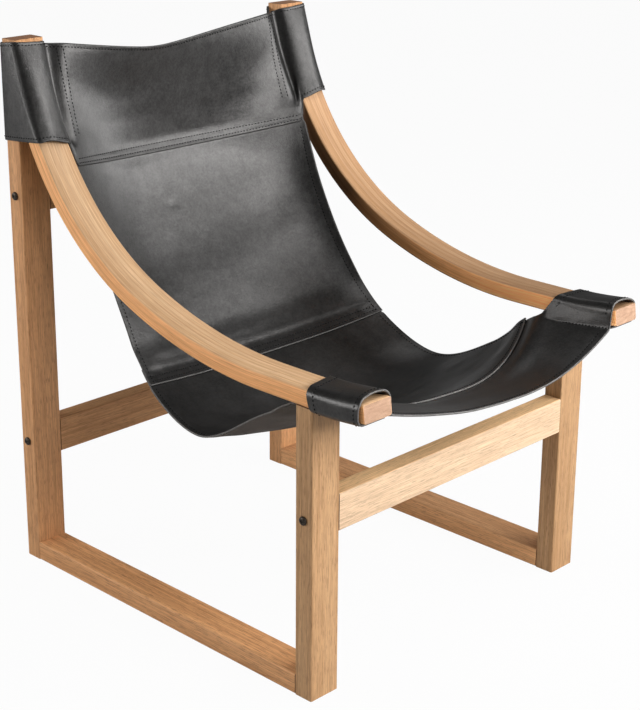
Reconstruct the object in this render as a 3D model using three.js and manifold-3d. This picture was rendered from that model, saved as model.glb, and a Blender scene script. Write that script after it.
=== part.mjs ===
// Sling lounge chair: a bolted hardwood frame with bent arms, and a black leather sling that hangs
// from sleeves on the rear posts and from loops on the tips of the arms.
// Millimetres, +Z up, the sitter faces -Y. While it is built, y = 0 is the front face of the legs;
// the last lines move the origin to the middle of the chair's box, at floor level.
import * as THREE from 'three';
import { mergeVertices } from 'three/addons/utils/BufferGeometryUtils.js';
import Module from 'manifold-3d';

const wasm = await Module();
wasm.setup();

// Frame sizes
const frameWidth = 650; // over the outer faces of the posts
const frameDepth = 698; // front face of the legs to rear face of the posts
const memberWidth = 57; // posts, legs, runners and arms, across the chair
const memberThickness = 34; // posts and legs, front to back
const postHeight = 908;
const runnerHeight = 33;
const edgeRadius = 2.5; // eased edges of the straight members
const fitGap = 0.3; // clearance between pieces that touch

// Arm sizes
const armTop = 494; // level part of the arm, above the floor
const armThickness = 28;
const armOverhang = 95; // tip in front of the legs
const armTipRise = 5.5; // height that the arm gains in front of the legs
const armEdgeRadius = 4;
const armSweepRadius = 740; // gentle rise behind the elbow
const armSweepAngle = THREE.MathUtils.degToRad(21.7);
const armCurlRadius = 450; // tighter rise towards the post
const armStraightEnd = 56; // straight upper end that lies on the post
const armSteepest = THREE.MathUtils.degToRad(82); // the straight end grows once the bends reach this
const armTopBelowPost = 10;
const armBluntEnd = 7; // cut off the feather edge at the top of the arm

// Cross piece sizes
const stretcherHeight = 60;
const stretcherThickness = 34;
const frontStretcherBelowArm = 145; // upper edge of the stretcher, below the arm
const rearStretcherBottom = 189;
const upperRailBelowSleeve = 62; // upper edge of the rail, below the sleeves

// Fastener sizes
const boltDiameter = 8;
const boltHeadDiameter = 14;
const boltHeadHeight = 4.4;
const boltSocketWidth = 5;
const boltSocketDepth = 2.6;
const nutDiameter = 12;
const nutLength = 24;
const nutFromStretcherEnd = 35; // middle of the nut
const nutFromBoltEnd = 8; // bolt end past the middle of the nut
const nutSlotWidth = 1.6;
const nutSlotDepth = 1.5;
const dowelDiameter = 8;
const dowelLength = 30;
const dowelFromSide = 14.5; // in from the side of a post, leg or arm
const dowelFromTop = 12; // below the upper edge of a cross piece
const screwDiameter = 4.5;
const screwHeadDiameter = 9;
const screwHeadHeight = 3;
const screwBite = 13; // into the arm
const screwBelowArmTop = 62; // upper screw
const screwSpacing = 24;

// Leather sizes
const leather = 3;
const leatherSlack = 0.5; // looseness over the wood
const sleeveBelowPost = 7; // post showing above the sleeve
const sleeveHeight = 157;
const sleeveLift = 8; // rise of the lower edge towards its outer front corner
const sleeveStitchInset = 26; // closing seam, inside the arm
const sleeveFlap = 8; // rear layer past the closing seam
const slingClearance = 6; // free edge of the back, inside the arms
const headSeamDrop = 39; // seam between headrest and back, below the sleeves
const headLap = 22; // overlap of headrest and back
const seatLap = 36; // overlap of back and seat
const bandLap = 18; // overlap of seat and front band
const loopSetback = 4; // front edge of a loop, behind the arm's tip
const loopRise = 2; // looseness of a loop over the arm's top
const loopEase = 1.5; // looseness of a loop beside and below the arm
const loopRadius = 10; // leather's middle at a loop's corners
const loopTail = 22; // lower layer past the closing seam
const loopArch = 5.5; // rise of a loop over the arm at its front edge
const loopFlare = 42; // rear edge of a loop runs back inside the leg, below the arm
const wrapRadius = 4.5; // leather's middle at the corners of the wood
const lapRamp = 30; // length in which a panel rises to lie over its lower neighbour
const lapGap = 0.8; // between two panels where they lap

// Sling sizes, at its side edges: depth behind the legs' front, and drop below the arms' underside
const seatSeamDepth = 411;
const seatSeamDrop = 88;
const lowPointDepth = 285;
const lowPointDrop = 142;
const wingDepth = 160;
const wingDrop = 89;
const bandSeamDepth = 87;
const bandSeamDrop = 28;
const wingTurnDepth = 46; // where the edge comes in to pass beside the leg
const wingTurnDrop = 9;
const legFaceDrop = 6;
const frontDrop = -1;
const railClearance = 5; // back's middle at the head seam, in front of the upper rail
const headLead = 2; // middle of the headrest in front of that, at the sleeves' lower edge

// Sag of the sling's middle from its side edges: bow behind them and dip below them. Wider is how far
// the edges stand out past the back's, behind how far the back's edge lies behind a straight line, and
// higher how much more the right edge is raised.
const headTopSag = { wider: 0, bow: 5, dip: 29.5 };
const headMiddleSag = { wider: 0, bow: 22.5, dip: 17 };
const headLowSag = { wider: 0, dip: 4.5 };
const headSeamSag = { wider: -6, dip: 20.5 };
const backHighSag = { wider: 0, behind: 14, bow: 51, dip: 16 };
const backLowSag = { wider: 4, behind: 19, bow: 44, dip: 18 };
const seatSeamSag = { wider: 15, bow: 25, dip: 21 };
const lowPointSag = { wider: 23, bow: 6, dip: 18, higher: 7 };
const wingSag = { wider: 23, bow: -10, dip: 34, higher: 19 };
const bandSeamSag = { wider: 19, bow: -62, dip: 47 };
const wingTurnSag = { wider: -6, bow: -42, dip: 61 };
const legFaceSag = { wider: -5, bow: -30, dip: 60 };
const frontSag = { wider: 0, bow: 10, dip: 57 };

// Colours
const woodFinish = { color: 0xc79257, roughness: 0.55, metalness: 0 };
const leatherFinish = { color: 0x1d1c1b, roughness: 0.45, metalness: 0 };
const boltFinish = { color: 0x2a2724, roughness: 0.4, metalness: 0.8 };
const nutFinish = { color: 0xb8b8b4, roughness: 0.35, metalness: 0.9 };
const dowelFinish = { color: 0xd9bd8c, roughness: 0.7, metalness: 0 };

// Derived places
const halfWidth = frameWidth / 2;
const halfInner = halfWidth - memberWidth;
const memberMiddle = halfWidth - memberWidth / 2;
const postFace = frameDepth - memberThickness;
const armUnderside = armTop - armThickness;
const legHeight = armUnderside - fitGap;
const armTopMeet = postHeight - armTopBelowPost;
const skin = leather / 2 + leatherSlack;
const layer = leather + lapGap;
const sleeveTop = postHeight - sleeveBelowPost;
const sleeveBottom = sleeveTop - sleeveHeight;
const sleeveMiddle = (sleeveTop + sleeveBottom) / 2;
const headSeamHeight = sleeveBottom - headSeamDrop;
const boltLength = memberWidth + nutFromStretcherEnd + nutFromBoltEnd;
const nutPlace = halfInner - nutFromStretcherEnd;
const dowelFromBolt = stretcherHeight / 2 - dowelFromTop;
const dowelPitch = memberWidth - 2 * dowelFromSide;
const screwLength = memberThickness + screwBite;
const sides = { left: 1, right: -1 };

const chair = new THREE.Group();

// Adds one named piece to the chair.
function piece(name, geometry, finish) {
  const mesh = new THREE.Mesh(geometry, new THREE.MeshStandardMaterial(finish));
  mesh.name = name;
  chair.add(mesh);
  return mesh;
}

// Turns a geometry into a solid that can be joined and cut.
function solid(geometry) {
  const bare = geometry.clone();
  bare.deleteAttribute('normal');
  bare.deleteAttribute('uv');
  const merged = mergeVertices(bare, 1e-4);
  const vertProperties = new Float32Array(merged.attributes.position.array);
  const triVerts = new Uint32Array(merged.index.array);
  return new wasm.Manifold(new wasm.Mesh({ numProp: 3, vertProperties, triVerts }));
}

// Turns a solid back into a geometry.
function geometryOf(body) {
  const mesh = body.getMesh();
  const geometry = new THREE.BufferGeometry();
  geometry.setAttribute('position', new THREE.BufferAttribute(mesh.vertProperties, 3));
  geometry.setIndex(new THREE.BufferAttribute(mesh.triVerts, 1));
  geometry.computeVertexNormals();
  return geometry;
}

// Cuts a list of geometries out of another.
function cut(geometry, tools) {
  let body = solid(geometry);
  for (const tool of tools) {
    body = body.subtract(solid(tool));
  }
  return geometryOf(body);
}

// A rectangle with rounded corners, centred on the origin.
function roundedRectangle(width, height, radius) {
  const w = width / 2;
  const h = height / 2;
  const shape = new THREE.Shape();
  shape.moveTo(-w + radius, -h);
  shape.lineTo(w - radius, -h);
  shape.absarc(w - radius, -h + radius, radius, -Math.PI / 2, 0);
  shape.lineTo(w, h - radius);
  shape.absarc(w - radius, h - radius, radius, 0, Math.PI / 2);
  shape.lineTo(-w + radius, h);
  shape.absarc(-w + radius, h - radius, radius, Math.PI / 2, Math.PI);
  shape.lineTo(-w, -h + radius);
  shape.absarc(-w + radius, -h + radius, radius, Math.PI, 1.5 * Math.PI);
  return shape;
}

// A straight bar of rounded section, extruded along +Z from the origin.
function bar(width, height, length, radius = edgeRadius) {
  const shape = roundedRectangle(width, height, radius);
  return new THREE.ExtrudeGeometry(shape, { depth: length, bevelEnabled: false, curveSegments: 2 });
}

// A round bar centred on a point, along one axis.
function rod(diameter, length, axis, x, y, z, facets = 12) {
  const geometry = new THREE.CylinderGeometry(diameter / 2, diameter / 2, length, facets);
  if (axis === 'x') {
    geometry.rotateZ(-Math.PI / 2);
  }
  if (axis === 'z') {
    geometry.rotateX(Math.PI / 2);
  }
  return geometry.translate(x, y, z);
}

// The hole that a round bar sits in.
function hole(diameter, length, axis, x, y, z) {
  return rod(diameter + 2 * fitGap, length + 2 * fitGap, axis, x, y, z);
}

// Joins rings of points into one closed body, with a flat cap at each end.
function loft(rings) {
  const count = rings[0].length;
  const positions = rings.flat().flatMap((p) => [p.x, p.y, p.z]);
  const index = [];
  for (let r = 0; r + 1 < rings.length; r += 1) {
    for (let i = 0; i < count; i += 1) {
      const a = r * count + i;
      const b = r * count + ((i + 1) % count);
      index.push(a, b, b + count, a, b + count, a + count);
    }
  }
  const last = (rings.length - 1) * count;
  for (let i = 1; i + 1 < count; i += 1) {
    index.push(0, i + 1, i);
    index.push(last, last + i, last + i + 1);
  }
  const geometry = new THREE.BufferGeometry();
  geometry.setAttribute('position', new THREE.Float32BufferAttribute(positions, 3));
  geometry.setIndex(index);
  geometry.computeVertexNormals();
  return geometry;
}

// Thickens a grid of points into one closed sheet. Rows share one count of points.
function sheet(grid, thickness) {
  const rows = grid.length;
  const columns = grid[0].length;
  const normalAt = (r, c) => {
    const along = grid[Math.min(r + 1, rows - 1)][c].clone().sub(grid[Math.max(r - 1, 0)][c]);
    const across = grid[r][Math.min(c + 1, columns - 1)].clone().sub(grid[r][Math.max(c - 1, 0)]);
    return across.cross(along).normalize();
  };
  const positions = [];
  for (const side of [0.5, -0.5]) {
    for (let r = 0; r < rows; r += 1) {
      for (let c = 0; c < columns; c += 1) {
        const p = grid[r][c].clone().addScaledVector(normalAt(r, c), side * thickness);
        positions.push(p.x, p.y, p.z);
      }
    }
  }
  const index = [];
  const lower = rows * columns;
  const quad = (a, b, c, d) => index.push(a, b, c, a, c, d);
  for (let r = 0; r + 1 < rows; r += 1) {
    for (let c = 0; c + 1 < columns; c += 1) {
      const a = r * columns + c;
      const b = a + columns;
      quad(a, a + 1, b + 1, b);
      quad(lower + a, lower + b, lower + b + 1, lower + a + 1);
    }
  }
  for (let c = 0; c + 1 < columns; c += 1) {
    const a = c;
    const b = (rows - 1) * columns + c;
    quad(a + 1, a, lower + a, lower + a + 1);
    quad(b, b + 1, lower + b + 1, lower + b);
  }
  for (let r = 0; r + 1 < rows; r += 1) {
    const a = r * columns;
    const b = a + columns - 1;
    quad(a, a + columns, lower + a + columns, lower + a);
    quad(b + columns, b, lower + b, lower + b + columns);
  }
  const geometry = new THREE.BufferGeometry();
  geometry.setAttribute('position', new THREE.Float32BufferAttribute(positions, 3));
  geometry.setIndex(index);
  geometry.computeVertexNormals();
  return geometry;
}

// Frame: upper surface of an arm, from its tip to its upper end

const armClimb = armTopMeet - armTop;

// Height that the arm gains at a depth in front of the legs.
function tipRiseAt(y) {
  return armTipRise * (Math.min(y, 0) / armOverhang) ** 2;
}

// Height that the two bends climb when the second one ends at an angle.
function bendClimb(angle) {
  const sweep = armSweepRadius * (1 - Math.cos(armSweepAngle));
  return sweep + armCurlRadius * (Math.cos(armSweepAngle) - Math.cos(angle));
}

// End angle at which the bends and the straight end climb from the level part to the post's top.
function armEndAngle() {
  let low = armSweepAngle;
  let high = armSteepest;
  for (let i = 0; i < 60; i += 1) {
    const middle = (low + high) / 2;
    if (bendClimb(middle) + armStraightEnd * Math.sin(middle) < armClimb) {
      low = middle;
    } else {
      high = middle;
    }
  }
  return low;
}

// Points of the surface that the hand lies on, each with the slope of the arm there.
function armSurface() {
  const sweepSteps = 4;
  const curlSteps = 9;
  const end = armEndAngle();
  const straightEnd = (armClimb - bendClimb(end)) / Math.sin(end);
  const run =
    armSweepRadius * Math.sin(armSweepAngle) +
    armCurlRadius * (Math.sin(end) - Math.sin(armSweepAngle)) +
    straightEnd * Math.cos(end);
  const levelEnd = postFace - run;
  const points = [1, 0.67, 0.33, 0].map((share) => {
    const y = -armOverhang * share;
    return { y, z: armTop + tipRiseAt(y), slope: Math.atan((-2 * armTipRise * share) / armOverhang) };
  });
  for (let i = 0; i <= sweepSteps; i += 1) {
    const slope = (armSweepAngle * i) / sweepSteps;
    const y = levelEnd + armSweepRadius * Math.sin(slope);
    points.push({ y, z: armTop + armSweepRadius * (1 - Math.cos(slope)), slope });
  }
  const bend = points[points.length - 1];
  for (let i = 1; i <= curlSteps; i += 1) {
    const slope = armSweepAngle + ((end - armSweepAngle) * i) / curlSteps;
    const y = bend.y + armCurlRadius * (Math.sin(slope) - Math.sin(armSweepAngle));
    points.push({ y, z: bend.z + armCurlRadius * (Math.cos(armSweepAngle) - Math.cos(slope)), slope });
  }
  const straight = points[points.length - 1];
  const past = straightEnd + armThickness;
  points.push({ y: straight.y + past * Math.cos(end), z: straight.z + past * Math.sin(end), slope: end });
  return points;
}

const armPoints = armSurface();

// Depth of the arm's front surface at a height.
function armFrontAt(z) {
  for (let i = 1; i < armPoints.length; i += 1) {
    const a = armPoints[i - 1];
    const b = armPoints[i];
    if (z <= b.z && b.z > a.z) {
      return a.y + ((b.y - a.y) * (z - a.z)) / (b.z - a.z);
    }
  }
  return postFace;
}

// Frame: cross pieces, with the bolts and dowels that join them to the legs and posts

const frontMiddle = stretcherThickness / 2;
const rearMiddle = postFace + stretcherThickness / 2;
const frontTop = armUnderside - frontStretcherBelowArm;
const rearLowTop = rearStretcherBottom + stretcherHeight;
const rearHighTop = sleeveBottom - upperRailBelowSleeve;
const crossPieces = [
  { name: 'front_stretcher', joint: 'front', middle: frontMiddle, top: frontTop },
  { name: 'rear_lower_stretcher', joint: 'rear_low', middle: rearMiddle, top: rearLowTop },
  { name: 'rear_upper_rail', joint: 'rear_high', middle: rearMiddle, top: rearHighTop },
];

function boltHeight(cross) {
  return cross.top - stretcherHeight / 2;
}

function makeCrossPiece(cross) {
  const length = 2 * (halfInner - fitGap);
  const z = boltHeight(cross);
  const geometry = bar(stretcherHeight, stretcherThickness, length);
  geometry.rotateY(Math.PI / 2).translate(-length / 2, cross.middle, z);
  const tools = [];
  const pocket = nutLength / 2 + stretcherThickness / 2;
  for (const s of Object.values(sides)) {
    tools.push(hole(boltDiameter, 2 * boltLength, 'x', s * halfWidth, cross.middle, z));
    tools.push(hole(dowelDiameter, dowelLength, 'x', s * halfInner, cross.middle, z + dowelFromBolt));
    const nutY = cross.middle + (pocket - nutLength) / 2 + fitGap;
    tools.push(hole(nutDiameter, pocket, 'y', s * nutPlace, nutY, z));
  }
  piece(cross.name, cut(geometry, tools), woodFinish);
}

function makeBolt(name, s, y, z) {
  const r = boltDiameter / 2;
  const head = boltHeadDiameter / 2;
  const chamfer = 0.1 * boltDiameter;
  const profile = [
    [0, -boltLength],
    [r - chamfer, -boltLength],
    [r, -boltLength + chamfer],
    [r, fitGap],
    [head, fitGap],
    [head, fitGap + 0.2 * boltHeadHeight],
    [0.85 * head, fitGap + 0.65 * boltHeadHeight],
    [0.55 * head, fitGap + 0.93 * boltHeadHeight],
    [0, fitGap + boltHeadHeight],
  ];
  const body = new THREE.LatheGeometry(profile.map(([x, h]) => new THREE.Vector2(x, h)), 14);
  const socketRadius = boltSocketWidth / Math.sqrt(3);
  const socket = new THREE.CylinderGeometry(socketRadius, socketRadius, 2 * boltSocketDepth, 6);
  socket.translate(0, fitGap + boltHeadHeight, 0);
  const geometry = cut(body, [socket]);
  geometry.rotateZ(-s * Math.PI / 2).translate(s * halfWidth, y, z);
  piece(name, geometry, boltFinish);
}

function makeNut(name, s, y, z) {
  const x = s * nutPlace;
  const slot = new THREE.BoxGeometry(nutDiameter, 2 * nutSlotDepth, nutSlotWidth);
  slot.translate(x, y + nutLength / 2, z);
  const body = rod(nutDiameter, nutLength, 'y', x, y, z);
  piece(name, cut(body, [hole(boltDiameter, 2 * nutDiameter, 'x', x, y, z), slot]), nutFinish);
}

function makeDowel(axis, x, y, z) {
  return rod(dowelDiameter, dowelLength, axis, x, y, z);
}

for (const cross of crossPieces) {
  makeCrossPiece(cross);
  const z = boltHeight(cross);
  for (const [side, s] of Object.entries(sides)) {
    makeBolt(`bolt_${cross.joint}_${side}`, s, cross.middle, z);
    makeNut(`barrel_nut_${cross.joint}_${side}`, s, cross.middle, z);
    const dowel = makeDowel('x', s * halfInner, cross.middle, z + dowelFromBolt);
    piece(`dowel_${cross.joint}_${side}`, dowel, dowelFinish);
  }
}

// Frame: side frames, each a post, a leg, a floor runner and an arm

const jointHalves = { inner: -1, outer: 1 };

function dowelPlace(s, half) {
  return s * (memberMiddle + (half * dowelPitch) / 2);
}

// Holes for the bolt and dowel of one cross piece, in the post or leg that it meets.
function crossHoles(s, cross) {
  const z = boltHeight(cross);
  return [
    hole(boltDiameter, 2 * memberWidth, 'x', s * halfWidth, cross.middle, z),
    hole(dowelDiameter, dowelLength, 'x', s * halfInner, cross.middle, z + dowelFromBolt),
  ];
}

// Holes for the two dowels between a runner and an upright, at the depth of their joint.
function runnerHoles(s, y) {
  return Object.values(jointHalves).map((half) =>
    hole(dowelDiameter, dowelLength, 'y', dowelPlace(s, half), y, runnerHeight / 2));
}

// Holes for the two dowels between an arm and its leg.
function armHoles(s) {
  return Object.values(jointHalves).map((half) =>
    hole(dowelDiameter, dowelLength, 'z', dowelPlace(s, half), memberThickness / 2, armUnderside));
}

const screwHeights = [armTopMeet - screwBelowArmTop, armTopMeet - screwBelowArmTop - screwSpacing];
const screwTop = frameDepth - fitGap;

// A countersunk screw, from the rear of the post into the arm.
function screwBody(s, z, gap) {
  const r = screwDiameter / 2 + gap;
  const head = screwHeadDiameter / 2 + gap;
  const tip = screwDiameter;
  const profile = [
    [0, -screwLength - gap],
    [r, -screwLength + tip],
    [r, -screwHeadHeight],
    [head, -fitGap],
    [head, gap],
    [0, gap],
  ];
  const body = new THREE.LatheGeometry(profile.map(([x, h]) => new THREE.Vector2(x, h)), 10);
  return body.translate(s * memberMiddle, screwTop, z);
}

function makePost(side, s) {
  const geometry = bar(memberWidth, memberThickness, postHeight);
  geometry.translate(s * memberMiddle, frameDepth - memberThickness / 2, 0);
  const met = crossPieces.filter((cross) => cross.joint !== 'front');
  const tools = met.flatMap((cross) => crossHoles(s, cross));
  tools.push(...runnerHoles(s, postFace));
  tools.push(...screwHeights.map((z) => screwBody(s, z, fitGap)));
  piece(`rear_post_${side}`, cut(geometry, tools), woodFinish);
}

function makeLeg(side, s) {
  const geometry = bar(memberWidth, memberThickness, legHeight);
  geometry.translate(s * memberMiddle, memberThickness / 2, 0);
  const met = crossPieces.filter((cross) => cross.joint === 'front');
  const tools = met.flatMap((cross) => crossHoles(s, cross));
  tools.push(...runnerHoles(s, memberThickness), ...armHoles(s));
  piece(`front_leg_${side}`, cut(geometry, tools), woodFinish);
}

function makeRunner(side, s) {
  const length = postFace - memberThickness - 2 * fitGap;
  const geometry = bar(memberWidth, runnerHeight, length);
  geometry.rotateX(-Math.PI / 2).translate(s * memberMiddle, memberThickness + fitGap, runnerHeight / 2);
  const tools = [...runnerHoles(s, memberThickness), ...runnerHoles(s, postFace)];
  piece(`floor_runner_${side}`, cut(geometry, tools), woodFinish);
}

function makeArm(side, s) {
  const section = roundedRectangle(memberWidth, armThickness, armEdgeRadius).getPoints(2);
  const outline = section.filter((p, i) => i === 0 || p.distanceTo(section[i - 1]) > 0.01).reverse();
  if (outline[0].distanceTo(outline[outline.length - 1]) < 0.01) {
    outline.pop();
  }
  const rings = armPoints.map((at) =>
    outline.map((p) => {
      const drop = p.y - armThickness / 2;
      const x = s * memberMiddle + p.x;
      return new THREE.Vector3(x, at.y - drop * Math.sin(at.slope), at.z + drop * Math.cos(at.slope));
    }));
  const far = 2 * frameDepth;
  const behind = new THREE.BoxGeometry(2 * memberWidth, far, far);
  behind.translate(s * memberMiddle, postFace - fitGap + far / 2, armTopMeet);
  const above = new THREE.BoxGeometry(2 * memberWidth, far, far);
  above.translate(s * memberMiddle, postFace, armTopMeet - armBluntEnd + far / 2);
  const tools = [behind, above, ...armHoles(s), ...screwHeights.map((z) => screwBody(s, z, fitGap))];
  piece(`arm_${side}`, cut(loft(rings), tools), woodFinish);
}

for (const [side, s] of Object.entries(sides)) {
  makePost(side, s);
  makeLeg(side, s);
  makeRunner(side, s);
  makeArm(side, s);
  for (const [half, sign] of Object.entries(jointHalves)) {
    const x = dowelPlace(s, sign);
    const low = runnerHeight / 2;
    piece(`dowel_runner_front_${half}_${side}`, makeDowel('y', x, memberThickness, low), dowelFinish);
    piece(`dowel_runner_rear_${half}_${side}`, makeDowel('y', x, postFace, low), dowelFinish);
    piece(`dowel_arm_${half}_${side}`, makeDowel('z', x, memberThickness / 2, armUnderside), dowelFinish);
  }
  piece(`arm_screw_upper_${side}`, screwBody(s, screwHeights[0], 0), nutFinish);
  piece(`arm_screw_lower_${side}`, screwBody(s, screwHeights[1], 0), nutFinish);
}

// Sling: its side edge and middle, from the headrest's top to the front edge

// Each station places the left side edge, with the sag of the middle from there. Power shapes the
// section between them, and lean makes its left half hang lower than the right one.
const panelEdge = halfInner - slingClearance;
const headTopDepth = armFrontAt(sleeveTop) - leather;
const headSeamDepth = armFrontAt(sleeveBottom) - leather;
const headLowDepth = armFrontAt(sleeveBottom) + leather;

// A place on the straight line from the head seam to the seat seam, and some way behind that line.
function backPlace(share, behind) {
  const seatSeamHeight = armUnderside - seatSeamDrop;
  return {
    y: THREE.MathUtils.lerp(headSeamDepth, seatSeamDepth, share) + behind,
    z: THREE.MathUtils.lerp(headSeamHeight, seatSeamHeight, share),
  };
}

// A place at some depth behind the legs' front and some drop below the arms' underside.
function lowPlace(depth, drop) {
  return { y: depth, z: armUnderside - drop };
}

const frontEdge = loopSetback - armOverhang;
const headMiddleDepth = postFace - railClearance;
const headSeamBow = headMiddleDepth - headSeamDepth;
const headLowBow = headMiddleDepth - headLead - headSeamDepth;
const plain = { higher: 0, lean: 0, power: 2 };
const stations = [
  { ...plain, y: headTopDepth, z: sleeveTop - skin, ...headTopSag, power: 1.5 },
  { ...plain, y: armFrontAt(sleeveMiddle), z: sleeveMiddle, ...headMiddleSag, power: 1.8 },
  { ...plain, y: headLowDepth, z: sleeveBottom, bow: headLowBow, ...headLowSag, power: 2.4 },
  { ...plain, ...backPlace(0, 0), bow: headSeamBow, ...headSeamSag, power: 2.5 },
  { ...plain, ...backPlace(0.345, backHighSag.behind), ...backHighSag, power: 3.2 },
  { ...plain, ...backPlace(0.71, backLowSag.behind), ...backLowSag, power: 3 },
  { ...plain, ...lowPlace(seatSeamDepth, seatSeamDrop), ...seatSeamSag, power: 2.2 },
  { ...plain, ...lowPlace(lowPointDepth, lowPointDrop), ...lowPointSag },
  { ...plain, ...lowPlace(wingDepth, wingDrop), ...wingSag, lean: 0.3 },
  { ...plain, ...lowPlace(bandSeamDepth, bandSeamDrop), ...bandSeamSag, lean: 0.35 },
  { ...plain, ...lowPlace(wingTurnDepth, wingTurnDrop), ...wingTurnSag, lean: 0.4 },
  { ...plain, ...lowPlace(0, legFaceDrop), ...legFaceSag, lean: 0.42 },
  { ...plain, ...lowPlace(frontEdge, frontDrop), ...frontSag, lean: 0.36 },
].map((p) => ({ x: panelEdge + p.wider, ...p }));
const station = {
  sleeveBottom: 2,
  headSeam: 3,
  seatSeam: 6,
  bandSeam: 9,
  wingTurn: 10,
  legFace: 11,
  front: 12,
};
const sideLine = new THREE.CatmullRomCurve3(stations.map((p) => new THREE.Vector3(p.x, p.y, p.z)));
const middleLine = new THREE.CatmullRomCurve3(
  stations.map((p) => new THREE.Vector3(0, p.y + p.bow, p.z - p.dip)));

function between(key, t) {
  const i = Math.min(Math.floor(t), stations.length - 2);
  return THREE.MathUtils.lerp(stations[i][key], stations[i + 1][key], t - i);
}

// Middle surface of the leather: u runs from -1 to 1 across, t counts stations along the sling.
function slingPoint(u, t) {
  const share = Math.min(t / (stations.length - 1), 1);
  const edge = sideLine.getPoint(share);
  const middle = middleLine.getPoint(share);
  const rise = Math.abs(u) ** between('power', t);
  const hang = (1 - rise) * (1 + between('lean', t) * u);
  const y = edge.y + (middle.y - edge.y) * (1 - rise);
  const z = edge.z + (middle.z - edge.z) * hang + (between('higher', t) * rise * (1 - u)) / 2;
  return new THREE.Vector3(edge.x * u, y, z);
}

// Unit normal of that surface, pointing behind and below the sling.
function slingNormal(u, t) {
  const step = 0.02;
  const before = Math.max(t - step, 0);
  const after = Math.min(t + step, station.front);
  const along = slingPoint(u, after).sub(slingPoint(u, before));
  const across = slingPoint(Math.min(u + step, 1), t).sub(slingPoint(Math.max(u - step, -1), t));
  return across.cross(along).normalize();
}

// A point of a layer that lies under the sling by some depth.
function layerPoint(u, t, depth) {
  return slingPoint(u, t).addScaledVector(slingNormal(u, t), depth);
}

// The count of stations that a length along the sling takes up.
function stationsIn(length, t) {
  const step = 0.05;
  const half = 0.5;
  return (length * 2 * step) / slingPoint(half, t + step).distanceTo(slingPoint(half, t - step));
}

// Rows of a panel that starts under its upper neighbour, and lies over its lower one where nextLap is set.
function panelRows(seam, lap, end, nextLap, count) {
  const rows = [{ t: seam - stationsIn(lap, seam), depth: 0 }];
  const last = nextLap ? end - stationsIn(nextLap + lapRamp, end) : end;
  for (let i = 0; i <= count; i += 1) {
    rows.push({ t: THREE.MathUtils.lerp(seam, last, i / count), depth: 0 });
  }
  if (nextLap) {
    rows.push({ t: end - stationsIn(nextLap + leather, end), depth: -layer });
    rows.push({ t: end, depth: -layer });
  }
  return rows;
}

const acrossHalf = [0.3, 0.55, 0.75, 0.9, 1];
const across = [...acrossHalf.map((u) => -u).reverse(), 0, ...acrossHalf];

function makePanel(name, rows) {
  const grid = rows.map(({ t, depth }) => across.map((u) => layerPoint(u, t, depth)));
  piece(name, sheet(grid, leather), leatherFinish);
}

// Points of a rounded corner of a sleeve or loop, from one angle to another, in degrees.
function corner(a, b, from, to, radius = wrapRadius) {
  return [from, (from + to) / 2, to].map((degrees) => {
    const angle = THREE.MathUtils.degToRad(degrees);
    return [a + radius * Math.cos(angle), b + radius * Math.sin(angle)];
  });
}

// Headrest: a panel whose sides go round post and arm, and back to a closing seam

// Plan of a sleeve at a height: from the arm's inner front edge, out and round to the post's inner side.
function sleevePlan(z) {
  const r = wrapRadius;
  const front = Math.min(armFrontAt(z), postFace) - skin;
  const rear = frameDepth + skin;
  const outer = halfWidth + skin;
  const inner = halfInner - skin;
  return [
    [halfInner - skin / 2, front + skin],
    [halfInner + skin, front],
    [memberMiddle, front],
    ...corner(outer - r, front + r, -90, 0),
    [outer, (front + rear) / 2],
    ...corner(outer - r, rear - r, 0, 90),
    [memberMiddle, rear],
    ...corner(inner + r, rear - r, 90, 180),
  ];
}

function makeHeadrest() {
  const rows = 7;
  const stitch = (halfInner - sleeveStitchInset) / panelEdge;
  const flap = [sleeveFlap, 0, -sleeveFlap].map((step) => stitch + step / panelEdge);
  const lapStart = 0.35; // stations below the sleeves where the panel lies over the back
  const grid = [];
  for (let r = 0; r < rows; r += 1) {
    const share = r / (rows - 1);
    const level = THREE.MathUtils.lerp(sleeveTop, sleeveBottom, share);
    const lift = sleeveLift * (1 + share) / 2;
    const flapPlace = station.sleeveBottom * THREE.MathUtils.lerp(0.02, 0.98, share);
    const sleeve = (s) => [
      ...sleevePlan(level).map(([x, y]) => {
        const outward = (x - halfInner) / memberWidth;
        const forward = (frameDepth - y) / (frameDepth - armFrontAt(level));
        const z = level + lift * THREE.MathUtils.clamp(outward, 0, 1) * THREE.MathUtils.clamp(forward, 0, 1);
        return new THREE.Vector3(s * x, y, z);
      }),
      ...flap.map((u) => layerPoint(s * u, flapPlace, layer)),
    ];
    const t = station.headSeam * share;
    const over = layer * THREE.MathUtils.clamp((t - station.sleeveBottom) / lapStart, 0, 1);
    const panel = across.map((u) => layerPoint(u, t, -over));
    grid.push([...sleeve(-1).reverse(), ...panel, ...sleeve(1)]);
  }
  piece('leather_headrest', sheet(grid, leather), leatherFinish);
}

// Front band: a strip whose ends go round the arm's tips, and back under itself

const loopTop = armTop + skin + loopRise;
const loopBottom = armUnderside - skin - loopEase;
const loopOuter = halfWidth + skin + loopEase;
const loopInner = halfInner - skin - loopEase;

// Section of a loop, from its closing seam over the arm's top and round to its underside.
function loopSection(arch, seam) {
  const r = loopRadius;
  const low = 0.75 * r;
  return [
    [seam.x + leather / 3, seam.z + 1.5 * leather],
    ...corner(loopInner + r, loopTop - r, 180, 90, r),
    [memberMiddle, loopTop + arch],
    ...corner(loopOuter - r, loopTop - r, 90, 0, r),
    [loopOuter, (loopTop + loopBottom) / 2],
    ...corner(loopOuter - low, loopBottom + low, 0, -90, low),
    [memberMiddle, loopBottom],
    [halfInner + 2 * wrapRadius, loopBottom],
  ];
}

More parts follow.
